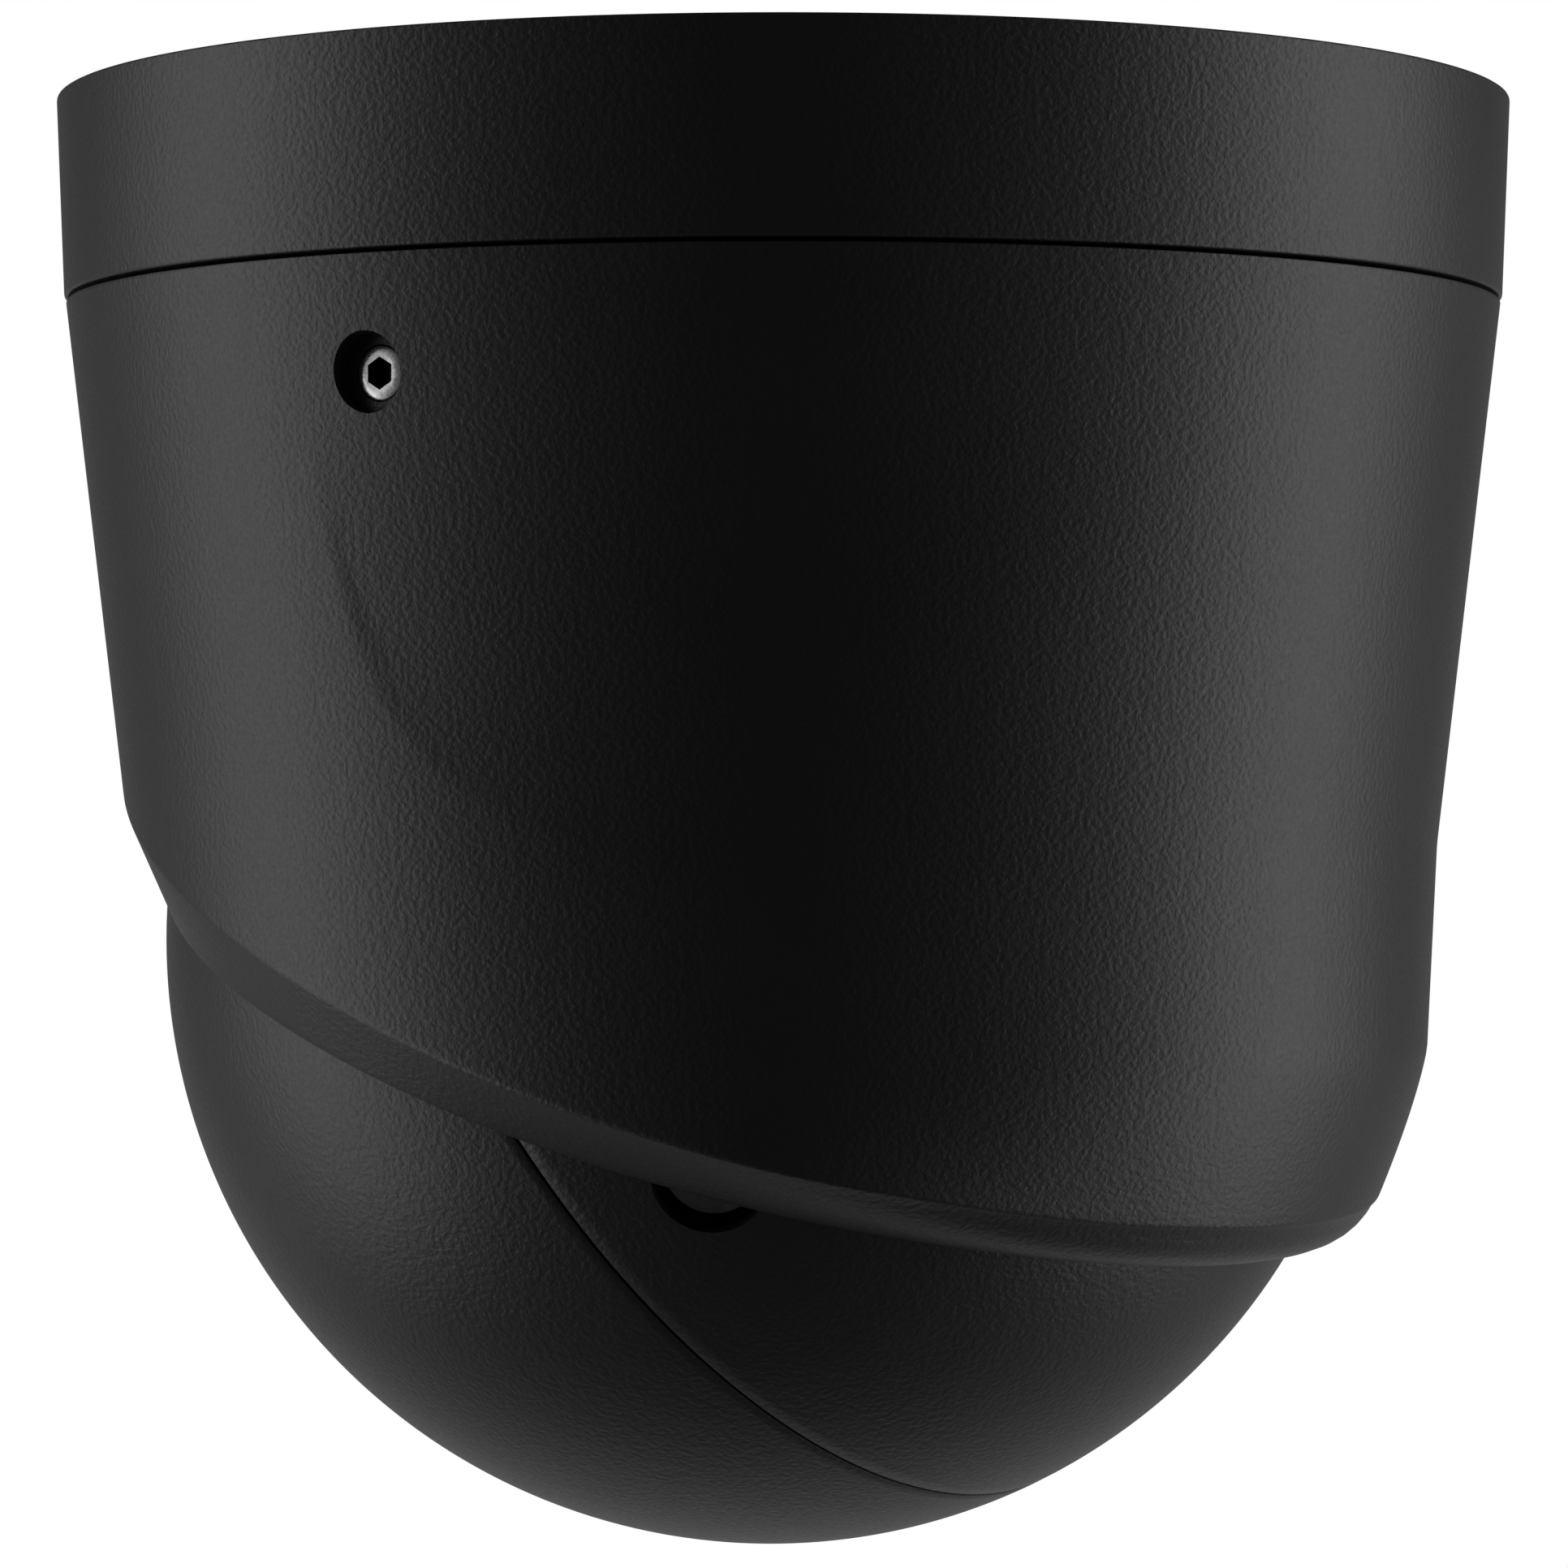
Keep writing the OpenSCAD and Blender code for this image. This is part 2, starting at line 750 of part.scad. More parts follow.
module chassis_screws() {
  color(steel) on_lens_axis() around(post_circle_radius, post_angles)
    head_down_screw(m2_shank_radius, m2_head_radius, m2_head_height,
                    chassis_low, chassis_high + post_hole_depth - 1, small_drive);
}

module thermal_pad() {
  color([0.55, 0.6, 0.75]) on_lens_axis()
    translate([-pad_side / 2, -pad_side / 2, processor_top])
      cube([pad_side, pad_side, chassis_low - processor_top]);
}

module processor() {
  color([0.05, 0.05, 0.055]) on_lens_axis()
    translate([-processor_side / 2, -processor_side / 2, main_board_high])
      cube([processor_side, processor_side, processor_top - main_board_high]);
}

module main_board() {
  color(board_green) on_lens_axis() difference() {
    bar(main_board_radius, main_board_low, main_board_high);
    around(board_post_circle_radius, board_post_angles) bar(m2_clear_radius, -reach, reach);
  }
}

module board_standoffs() {
  color(brass_tone) on_lens_axis() around(board_post_circle_radius, board_post_angles) difference() {
    translate([0, 0, main_board_high])
      cylinder(h = chassis_low - main_board_high, r = board_standoff_radius, $fn = 6);
    bar(m2_clear_radius, -reach, reach);
  }
}

module board_screws() {
  color(steel) on_lens_axis() around(board_post_circle_radius, board_post_angles)
    head_down_screw(board_screw_radius, board_head_radius, m2_head_height,
                    main_board_low, chassis_low - screw_short, small_drive);
}

module board_connectors() {
  color(white_plastic) on_lens_axis() for (side = [-1, 1])
    translate([side * connector_place.x - connector_size.x / 2, connector_place.y,
               main_board_low - connector_size.z])
      cube(connector_size);
}

module card_slot() {
  color(steel) on_lens_axis()
    translate([card_slot_place.x, card_slot_place.y, main_board_low - card_slot_size.z])
      cube(card_slot_size);
}

base_housing();
wall_gasket();
cable_grommet();
retainer_ring();
retainer_screws();
glide_ring();
trim_ring();
ball_saddle();
saddle_screws();
lip_seal();
screw_insert();
screw_tip();
set_screw();
gland_insert();
gland_body();
gland_seal();
gland_nut();
ball_front_shell();
ball_rear_shell();
shell_seal();
shell_screws();
front_bezel();
window_glass();
window_gasket();
lens_hood();
lens_barrel();
front_lens();
rear_lens();
lens_mount();
image_sensor();
sensor_board();
sensor_standoffs();
sensor_screws();
lamp_board();
lamps();
lamp_posts();
chassis_plate();
chassis_screws();
thermal_pad();
processor();
main_board();
board_standoffs();
board_screws();
board_connectors();
card_slot();
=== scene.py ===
import json
import math

import bmesh
import bpy
from mathutils import Matrix, Vector


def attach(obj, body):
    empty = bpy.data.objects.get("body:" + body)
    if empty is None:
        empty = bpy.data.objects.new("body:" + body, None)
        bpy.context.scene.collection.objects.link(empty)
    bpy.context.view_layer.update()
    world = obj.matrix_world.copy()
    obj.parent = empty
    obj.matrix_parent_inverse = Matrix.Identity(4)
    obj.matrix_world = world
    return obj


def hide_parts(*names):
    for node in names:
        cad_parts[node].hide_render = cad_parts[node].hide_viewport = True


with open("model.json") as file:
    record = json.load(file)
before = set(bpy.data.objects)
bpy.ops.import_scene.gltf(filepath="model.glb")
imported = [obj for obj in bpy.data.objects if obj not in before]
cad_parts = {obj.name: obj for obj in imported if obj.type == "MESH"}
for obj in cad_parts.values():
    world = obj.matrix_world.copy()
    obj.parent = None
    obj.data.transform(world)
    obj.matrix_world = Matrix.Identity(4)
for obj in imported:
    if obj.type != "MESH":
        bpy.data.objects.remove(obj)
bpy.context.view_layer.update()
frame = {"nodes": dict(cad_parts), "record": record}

bl_info = {
    "name": "Ceiling turret camera",
    "version": (1, 0, 0),
    "blender": (4, 5, 0),
    "location": "View3D > Sidebar > Turret",
    "description": "Builds the outer shells, fittings and finishes of a ceiling turret camera",
    "category": "Object",
}

MM = 0.001
NODES = frame["nodes"]
BALL_CENTRE = Vector((0.0, -1.1, -63.2)) * MM
LENS_DOWN = math.radians(27.9)
TO_BALL = Matrix.Translation(BALL_CENTRE) @ Matrix.Rotation(math.radians(90) + LENS_DOWN, 4, "X")
THIRDS = (90, 210, 330)
SHELL_SCREW_TILT = math.radians(101.5)

CAMERA_AZIMUTH = math.radians(121)
CAMERA_DISTANCE = 0.44486
CAMERA_HEIGHT = -0.0528157
CAMERA_SHIFT = 0.0000562
CAMERA_PITCH = 0.003
STRIP_TURN = math.radians(91)
STRIP_DISTANCE = 0.9
STRIP_WIDTH = 0.62
STRIP_HEIGHT = 1.5
GLOW_DROP = math.radians(30)

ARC_STEPS = 4
WALL_ROWS = 96
BORE_ROWS = 16
SEARCH_STEPS = 40
SHELL_STEPS = 56
SHELL_WALL = 0.0029
SEAM_EDGE = 0.00013
TO_SET_SCREW = (
    Matrix.Rotation(math.radians(-1.4), 4, "Z") @ Matrix.Translation((0, 0, -0.02335))
    @ Matrix.Rotation(math.radians(90), 4, "Y"))


# Sizes and colours that a user would change

class BaseSettings(bpy.types.PropertyGroup):
    radius: bpy.props.FloatProperty(
        name="Base radius", description="Radius at the mounting face",
        default=0.055, unit="LENGTH")
    height: bpy.props.FloatProperty(
        name="Base height", description="Height of the base ring",
        default=0.01496, unit="LENGTH")
    draft: bpy.props.FloatProperty(
        name="Base draft", description="How much the radius shrinks over the height",
        default=0.00057, unit="LENGTH")


class TrimSettings(bpy.types.PropertyGroup):
    columns: bpy.props.IntProperty(
        name="Columns", description="Number of steps around the trim ring",
        default=480, min=96)
    edge: bpy.props.FloatProperty(
        name="Lip edge", description="Size of the rounding on the outer edge of the lip",
        default=0.00028, unit="LENGTH")
    recess_radius: bpy.props.FloatProperty(
        name="Recess radius", description="Radius of the recess around the set screw",
        default=0.00283, unit="LENGTH")


class BallSettings(bpy.types.PropertyGroup):
    radius: bpy.props.FloatProperty(
        name="Ball radius", description="Outer radius of the ball",
        default=0.0459, unit="LENGTH")
    pocket_radius: bpy.props.FloatProperty(
        name="Pocket radius", description="Radius of the pocket around a shell screw",
        default=0.0042, unit="LENGTH")


class FinishSettings(bpy.types.PropertyGroup):
    coat_colour: bpy.props.FloatVectorProperty(
        name="Coat colour", description="Colour of the powder coat",
        default=(0.0125, 0.0125, 0.0128), subtype="COLOR", size=3)
    grain: bpy.props.FloatProperty(
        name="Grain", description="Size of one wrinkle of the powder coat",
        default=0.00078, unit="LENGTH")


# Finishes

def new_finish(name):
    finish = bpy.data.materials.new(name)
    finish.use_nodes = True
    tree = finish.node_tree
    shader = tree.nodes["Principled BSDF"]
    return finish, tree, shader


def add_node(tree, kind, **values):
    made = tree.nodes.new(kind)
    for key, value in values.items():
        setattr(made, key, value)
    return made


def object_point(tree, scale=(1.0, 1.0, 1.0)):
    place = add_node(tree, "ShaderNodeTexCoord")
    turn = add_node(tree, "ShaderNodeMapping")
    turn.inputs["Scale"].default_value = scale
    tree.links.new(place.outputs["Object"], turn.inputs["Vector"])
    return turn.outputs["Vector"]


def noise(tree, point, scale, detail=2.0, roughness=0.5):
    grain = add_node(tree, "ShaderNodeTexNoise")
    grain.inputs["Scale"].default_value = scale
    grain.inputs["Detail"].default_value = detail
    grain.inputs["Roughness"].default_value = roughness
    tree.links.new(point, grain.inputs["Vector"])
    return grain.outputs["Fac"]


def remap(tree, value, low, high, to_low, to_high):
    made = add_node(tree, "ShaderNodeMapRange")
    made.inputs["From Min"].default_value = low
    made.inputs["From Max"].default_value = high
    made.inputs["To Min"].default_value = to_low
    made.inputs["To Max"].default_value = to_high
    tree.links.new(value, made.inputs["Value"])
    return made.outputs["Result"]


def ramp(tree, value, stops):
    made = add_node(tree, "ShaderNodeValToRGB")
    band = made.color_ramp
    while len(band.elements) < len(stops):
        band.elements.new(0.5)
    for element, (place, colour) in zip(band.elements, stops):
        element.position = place
        element.color = (*colour, 1.0)
    tree.links.new(value, made.inputs["Fac"])
    return made.outputs["Color"]


def bump(tree, height, distance, strength=1.0, normal=None):
    made = add_node(tree, "ShaderNodeBump")
    made.inputs["Strength"].default_value = strength
    made.inputs["Distance"].default_value = distance
    tree.links.new(height, made.inputs["Height"])
    if normal is not None:
        tree.links.new(normal, made.inputs["Normal"])
    return made.outputs["Normal"]


def powder_coat(name, grain, colour, depth=0.000023):
    finish, tree, shader = new_finish(name)
    point = object_point(tree, (1.0, 1.0, 1.1))
    wrinkle = noise(tree, point, 1.75 / grain, 2.0, 0.45)
    crisp = remap(tree, wrinkle, 0.36, 0.64, 0.0, 1.0)
    fine = noise(tree, point, 2.6 / grain, 2.0, 0.5)
    broad = noise(tree, point, 60.0, 3.0, 0.55)
    low = [channel * 0.86 for channel in colour]
    high = [channel * 1.16 for channel in colour]
    tree.links.new(ramp(tree, broad, [(0.3, low), (0.7, high)]), shader.inputs["Base Color"])
    tree.links.new(remap(tree, fine, 0.3, 0.7, 0.43, 0.51), shader.inputs["Roughness"])
    shader.inputs["Specular IOR Level"].default_value = 0.5
    first = bump(tree, crisp, depth, 0.9)
    tree.links.new(bump(tree, fine, 0.000012, 0.6, first), shader.inputs["Normal"])
    return finish


def moulded(name, colour, roughness, grain_scale=1500.0, depth=0.00001, gloss=0.5):
    finish, tree, shader = new_finish(name)
    point = object_point(tree)
    grain = noise(tree, point, grain_scale, 3.0, 0.6)
    cloud = noise(tree, point, 90.0, 2.0, 0.5)
    low = [channel * 0.88 for channel in colour]
    high = [min(1.0, channel * 1.1) for channel in colour]
    tree.links.new(ramp(tree, cloud, [(0.35, low), (0.65, high)]), shader.inputs["Base Color"])
    tree.links.new(
        remap(tree, grain, 0.3, 0.7, roughness - 0.06, roughness + 0.08), shader.inputs["Roughness"])
    tree.links.new(bump(tree, grain, depth, 0.5), shader.inputs["Normal"])
    shader.inputs["Specular IOR Level"].default_value = gloss
    return finish


def turned_metal(name, colour, roughness):
    finish, tree, shader = new_finish(name)
    point = object_point(tree)
    scratch = noise(tree, point, 2400.0, 4.0, 0.65)
    cloud = noise(tree, point, 260.0, 2.0, 0.5)
    low = [channel * 0.82 for channel in colour]
    high = [min(1.0, channel * 1.08) for channel in colour]
    tree.links.new(ramp(tree, cloud, [(0.3, low), (0.7, high)]), shader.inputs["Base Color"])
    tree.links.new(
        remap(tree, scratch, 0.25, 0.75, roughness - 0.08, roughness + 0.12), shader.inputs["Roughness"])
    tree.links.new(bump(tree, scratch, 0.000004, 0.5), shader.inputs["Normal"])
    shader.inputs["Metallic"].default_value = 1.0
    return finish


def circuit_board(name, mask):
    finish, tree, shader = new_finish(name)
    point = object_point(tree)
    cells = add_node(tree, "ShaderNodeTexVoronoi", distance="CHEBYCHEV", feature="F1")
    cells.inputs["Scale"].default_value = 420.0
    tree.links.new(point, cells.inputs["Vector"])
    tracks = add_node(tree, "ShaderNodeTexWave", wave_type="BANDS", bands_direction="DIAGONAL")
    tracks.inputs["Scale"].default_value = 260.0
    tree.links.new(point, tracks.inputs["Vector"])
    dark = [channel * 0.7 for channel in mask]
    light = [min(1.0, channel * 1.5) for channel in mask]
    copper = ramp(tree, tracks.outputs["Fac"], [(0.55, dark), (0.6, light)])
    pads = add_node(tree, "ShaderNodeMix", data_type="RGBA")
    spot = remap(tree, cells.outputs["Distance"], 0.1, 0.14, 1.0, 0.0)
    tree.links.new(spot, pads.inputs["Factor"])
    tree.links.new(copper, pads.inputs["A"])
    pads.inputs["B"].default_value = (0.62, 0.6, 0.55, 1.0)
    tree.links.new(pads.outputs["Result"], shader.inputs["Base Color"])
    tree.links.new(
        remap(tree, noise(tree, point, 500.0), 0.3, 0.7, 0.22, 0.34), shader.inputs["Roughness"])
    tree.links.new(bump(tree, tracks.outputs["Fac"], 0.00001, 0.6), shader.inputs["Normal"])
    return finish


def glass(name, colour, transmission, roughness, coat):
    finish, tree, shader = new_finish(name)
    point = object_point(tree)
    smear = noise(tree, point, 45.0, 3.0, 0.6)
    tree.links.new(
        remap(tree, smear, 0.35, 0.65, roughness, roughness + 0.02), shader.inputs["Roughness"])
    low = [channel * 0.9 for channel in colour]
    tree.links.new(ramp(tree, smear, [(0.3, low), (0.7, colour)]), shader.inputs["Base Color"])
    shader.inputs["Transmission Weight"].default_value = transmission
    shader.inputs["IOR"].default_value = 1.5
    shader.inputs["Coat Weight"].default_value = coat
    shader.inputs["Coat Roughness"].default_value = 0.02
    return finish


def make_finishes(settings):
    colour = tuple(settings.coat_colour)
    grain = settings.grain
    return {
        "powder_coat": powder_coat("wrinkle powder coat", grain, colour),
        "satin_black": moulded("satin black moulding", (0.018, 0.018, 0.019), 0.38),
        "rubber": moulded("soft black rubber", (0.016, 0.016, 0.016), 0.72, 900.0, 0.00002),
        "steel": turned_metal("brushed screw steel", (0.64, 0.64, 0.65), 0.3),
        "set_screw": turned_metal("bright screw steel", (0.82, 0.82, 0.83), 0.26),
        "dark_steel": turned_metal("zinc black steel", (0.2, 0.2, 0.205), 0.36),
        # Near-black finish for the inside of the set screw's socket: painted shade in the recess, not a
        # material of the screw
        "socket_painted_shade": moulded("socket painted shade", (0.006, 0.006, 0.006), 0.6, gloss=0.08),
        "brass": turned_metal("turned brass", (0.76, 0.56, 0.26), 0.28),
        "white_plastic": moulded("natural acetal", (0.78, 0.77, 0.73), 0.42),
        "aluminium": turned_metal("blasted aluminium", (0.58, 0.59, 0.6), 0.46),
        "window_glass": glass("smoked window", (0.7, 0.7, 0.74), 0.98, 0.0, 0.3),
        "lens_glass": glass("coated lens", (0.62, 0.56, 0.86), 1.0, 0.0, 0.6),
        "circuit_board": circuit_board("green solder mask", (0.012, 0.14, 0.05)),
        "chip": moulded("chip moulding", (0.022, 0.022, 0.025), 0.36),
        "sensor": glass("sensor cover", (0.2, 0.16, 0.3), 0.2, 0.04, 0.8),
        "lamp": moulded("lamp lens", (0.82, 0.78, 0.58), 0.2, 700.0, 0.000004),
        "thermal_pad": moulded("soft heat pad", (0.38, 0.44, 0.62), 0.7, 1200.0, 0.00002),
    }


FINISHES = {}


def finish_of(name):
    if not FINISHES:
        FINISHES.update(make_finishes(bpy.context.scene.turret_finish))
    return FINISHES[name]


# Mesh helpers

def spin_profile(points, columns, axis_matrix=None):
    """A closed bmesh of revolution about Z from (radius, height) points in metres."""
    shape = bmesh.new()
    row = [shape.verts.new((radius, 0.0, height)) for radius, height in points]
    edges = [shape.edges.new((row[index], row[index + 1])) for index in range(len(row) - 1)]
    bmesh.ops.spin(
        shape, geom=row + edges, cent=(0, 0, 0), axis=(0, 0, 1), angle=math.tau,
        steps=columns, use_merge=True)
    bmesh.ops.remove_doubles(shape, verts=shape.verts, dist=1e-7)
    if axis_matrix is not None:
        bmesh.ops.transform(shape, matrix=axis_matrix, verts=shape.verts)
    bmesh.ops.recalc_face_normals(shape, faces=shape.faces)
    return shape


def to_object(shape, name, smooth=True):
    mesh = bpy.data.meshes.new(name)
    shape.to_mesh(mesh)
    shape.free()
    piece = bpy.data.objects.new(name, mesh)
    bpy.context.scene.collection.objects.link(piece)
    if smooth:
        mesh.shade_smooth()
    return piece


def sharpen(piece, degrees=32):
    """Marks edges that turn more than an angle as sharp, so flats stay flat in a smooth mesh."""
    shape = bmesh.new()
    shape.from_mesh(piece.data)
    limit = math.radians(degrees)
    for edge in shape.edges:
        edge.smooth = not (len(edge.link_faces) == 2 and edge.calc_face_angle(0.0) > limit)
    shape.to_mesh(piece.data)
    shape.free()


def cut_away(piece, cutters):
    """Subtracts each cutter from the piece, applies the result and removes the cutters."""
    for cutter in cutters:
        change = piece.modifiers.new("cut", "BOOLEAN")
        change.operation = "DIFFERENCE"
        change.solver = "EXACT"
        change.object = cutter
    bpy.context.view_layer.update()
    graph = bpy.context.evaluated_depsgraph_get()
    mesh = bpy.data.meshes.new_from_object(piece.evaluated_get(graph))
    piece.modifiers.clear()
    old = piece.data
    piece.data = mesh
    bpy.data.meshes.remove(old)
    for cutter in cutters:
        bpy.data.objects.remove(cutter)


def settle(piece, body, finish, slot, *nodes):
    """Gives the piece its finish, its body and the CAD nodes that it stands for; the slot argument is not
    used.
    """
    piece.data.materials.clear()
    piece.data.materials.append(finish_of(finish))
    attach(piece, body)
    if nodes:
        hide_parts(*nodes)
    return piece


def corner(before, here, after, radius):
    """A small arc of quadratic form that replaces one corner of a profile."""
    start = here + (before - here).normalized() * min(radius, (before - here).length * 0.45)
    end = here + (after - here).normalized() * min(radius, (after - here).length * 0.45)
    arc = []
    for step in range(ARC_STEPS + 1):
        share = step / ARC_STEPS
        point = start.lerp(here, share).lerp(here.lerp(end, share), share)
        arc.append((point.x, point.y))
    return arc


def soften(points, radius):
    """Rounds every corner of a closed profile, and ends it at its first point."""
    ring = [Vector(point) for point in points]
    result = []
    for index, here in enumerate(ring):
        result.extend(corner(ring[index - 1], here, ring[(index + 1) % len(ring)], radius))
    result.append(result[0])
    return result


# The trim ring's form, in millimetres: heading is the angle from +X, front at -Y

RING_TOP = -15.22
CAVITY_RADIUS = 46.0
CAVITY_GAP = 0.04
CREASE_FRONT = -6.5
CREASE_WIDTH = 15.0
CREASE_DEPTH = 0.3
FULLER_START = -56.0
BEVEL_START = -71.3
FULLER_SLOPE = 0.068


def cone_radius(height):
    return 54.33 + 0.1165 * (height + 15.0)


def outer_lip_height(depth):
    rear = 0.45 * ease(30.0, 41.0, depth)
    return -70.205 - 0.36772 * depth + 0.00189 * depth * depth - rear


def inner_lip_height(depth):
    return -74.64 - 0.35088 * depth + 0.0014 * depth * depth


def ease(low, high, value):
    share = max(0.0, min(1.0, (value - low) / (high - low)))
    return share * share * (3.0 - 2.0 * share)


def crease_height(depth):
    """Height of the faint crease on the side of the ring: steep at the side, level at the rear."""
    if depth < CREASE_FRONT:
        return 0.0
    run = depth - CREASE_FRONT
    return -59.9 + 18.0 * math.exp(-run / 13.0) + 15.5 * math.exp(-run / 2.2)


def wall_radius(heading, height):
    """Radius of the wall above the bevel, with the faint crease and the fuller lower rear."""
    radius = cone_radius(height)
    depth = radius * math.sin(heading)
    level = crease_height(depth)
    above = max(0.0, height - level)
    aside = max(0.0, depth - CREASE_FRONT)
    distance = min(above, aside) / CREASE_WIDTH
    fade = ease(-22.0, -36.0, height) * (1.0 - ease(25.0, 40.0, depth))
    radius -= CREASE_DEPTH * math.e * distance * math.exp(-distance) * fade
    below = max(0.0, FULLER_START - height)
    radius += FULLER_SLOPE * below * ease(-12.0, 30.0, depth)
    under = max(0.0, BEVEL_START - height)
    radius -= (0.075 * under ** 1.42 + FULLER_SLOPE * under) * ease(21.0, 42.0, depth)
    return radius


def solve_height(heading):
    """Height at which the outer surface meets the outer edge of the lip band."""
    high, low = -40.0, -95.0
    for _ in range(SEARCH_STEPS):
        middle = (high + low) / 2
        depth = wall_radius(heading, middle) * math.sin(heading)
        if middle > outer_lip_height(depth):
            high = middle
        else:
            low = middle
    return (high + low) / 2


def solve_lip(heading):
    """Radius and height of the lip's inner edge, which follows the ball."""
    reach = 45.0
    height = -70.0
    for _ in range(SEARCH_STEPS):
        height = inner_lip_height(reach * math.sin(heading))
        fall = height - BALL_CENTRE.z / MM
        flat = math.sqrt(max(1.0, CAVITY_RADIUS * CAVITY_RADIUS - fall * fall))
        shift = BALL_CENTRE.y / MM
        side = shift * math.cos(heading)
        reach = shift * math.sin(heading) + math.sqrt(flat * flat - side * side)
    return reach, height


def cavity_reach(heading, height):
    """Distance from the ring's axis to the ball's cavity at a heading and a height."""
    shift = BALL_CENTRE.y / MM
    fall = height - BALL_CENTRE.z / MM
    flat = math.sqrt(max(1.0, (CAVITY_RADIUS + CAVITY_GAP) ** 2 - fall * fall))
    side = shift * math.cos(heading)
    return shift * math.sin(heading) + math.sqrt(flat * flat - side * side)


def ring_section(heading, edge):
    """One section of the trim ring, from the top inner edge, down the outside and up the bore."""
    top = RING_TOP
    foot = solve_height(heading)
    foot_radius = wall_radius(heading, foot)
    lip_radius, lip_height = solve_lip(heading)
    section = []
    top_radius = wall_radius(heading, top)
    section.append((51.2, top))
    section.append((top_radius - 0.28, top))
    section.append((top_radius - 0.09, top - 0.05))
    section.append((top_radius - 0.02, top - 0.16))
    first = top - 0.35
    span = first - (foot + edge)
    for index in range(WALL_ROWS):
        height = first - span * index / (WALL_ROWS - 1)
        section.append((wall_radius(heading, height), height))
    upper = Vector((wall_radius(heading, foot + edge), foot + edge))
    tip = Vector((foot_radius, foot))
    lip = Vector((lip_radius, lip_height))
    inward = (lip - tip)
    band = max(inward.length, 0.4)
    inward.normalize()
    lower = tip + inward * min(edge, band * 0.3)
    for share in (0.25, 0.5, 0.75, 1.0):
        point = upper.lerp(tip, share).lerp(tip.lerp(lower, share), share)
        section.append((point.x, point.y))
    last = lip - inward * min(0.16, band * 0.2)
    bulge = 1.15 * ease(14.0, 38.0, lip_radius * math.sin(heading))
    outwards = Vector((-inward.y, inward.x))
    for share in (0.125, 0.25, 0.375, 0.5, 0.625, 0.75, 0.875, 1.0):
        point = lower.lerp(last, share) + outwards * (4.0 * bulge * share * (1.0 - share))
        section.append((point.x, point.y))
    section.append((lip.x, lip.y + 0.03))
    for rise in (0.25, 1.2, 3.0, 6.0):
        section.append((cavity_reach(heading, lip.y + rise), lip.y + rise))
    start, low = section[-1]
    end, high = min(start + 0.6, cone_radius(-45.0) - 3.2), max(lip.y + 9.0, -56.0)
    for step in range(1, BORE_ROWS + 1):
        share = step / BORE_ROWS
        height = low + (high - low) * share
        section.append((max(start + (end - start) * share, cavity_reach(heading, height)), height))
    section.append((47.9, -38.0))
    section.append((49.2, -30.0))
    section.append((51.0, -17.0))
    return section


# Pieces

class OBJECT_OT_turret_base(bpy.types.Operator):
    """Makes the fixed base ring"""
    bl_idname = "turret.base"
    bl_label = "Base ring"

    def execute(self, context):
        sizes = context.scene.turret_base
        top, foot = sizes.radius, sizes.radius - sizes.draft
        low = -sizes.height
        profile = [
            (0.011, -0.003), (0.011, 0.0), (0.0502, 0.0), (0.0502, -0.001), (0.053, -0.001),
            (0.053, 0.0), (top, 0.0), (foot, low), (0.0516, low), (0.0516, -0.003),
            (0.0493, -0.003), (0.0493, -0.027), (0.0445, -0.027), (0.0445, -0.003)]
        shape = spin_profile(soften(profile, 0.00028), 384)
        piece = to_object(shape, "base_shell")
        holes = []
        for turn in THIRDS:
            spot = Matrix.Rotation(math.radians(turn), 4, "Z") @ Matrix.Translation((0.035, 0, 0))
            hole = spin_profile(
                [(0.0, -0.01), (0.0023, -0.01), (0.0023, -0.0003), (0.0027, 0.0001), (0.0027, 0.002),
                 (0.0, 0.002)], 48, spot)
            holes.append(to_object(hole, "hole"))
        cut_away(piece, holes)
        sharpen(piece)
        settle(piece, "base", "powder_coat", "powder_coat", "base_housing")
        return {"FINISHED"}


class OBJECT_OT_turret_trim(bpy.types.Operator):
    """Makes the tapered, slant-cut trim ring with the recess for its set screw"""
    bl_idname = "turret.trim"
    bl_label = "Trim ring"

    def execute(self, context):
        sizes = context.scene.turret_trim
        edge = sizes.edge / MM
        count = len(ring_section(0.0, edge))
        shape = bmesh.new()
        mark = shape.verts.layers.int.new("row")
        line = []
        for index in range(count):
            vert = shape.verts.new((0.05, 0.0, -0.001 * index))
            vert[mark] = index
            line.append(vert)
        edges = [shape.edges.new((line[i], line[(i + 1) % count])) for i in range(count)]
        bmesh.ops.spin(
            shape, geom=line + edges, cent=(0, 0, 0), axis=(0, 0, 1), angle=math.tau,
            steps=sizes.columns, use_merge=True)
        sections = {}
        for vert in shape.verts:
            heading = math.atan2(vert.co.y, vert.co.x)
            key = round(heading, 5)
            if key not in sections:
                sections[key] = ring_section(heading, edge)
            radius, height = sections[key][vert[mark]]
            vert.co = Vector((radius * math.cos(heading), radius * math.sin(heading), height)) * MM
        bmesh.ops.recalc_face_normals(shape, faces=shape.faces)
        piece = to_object(shape, "trim_shell")
        hole = sizes.recess_radius
        cutter = spin_profile(
            [(0.0, 0.045), (0.002, 0.045), (0.002, 0.0517), (hole, 0.0517), (hole, 0.0545),
             (0.0, 0.0545)], 64, TO_SET_SCREW)
        cut_away(piece, [to_object(cutter, "recess")])
        sharpen(piece, 40)
        settle(piece, "trim", "powder_coat", "powder_coat", "trim_ring")
        return {"FINISHED"}


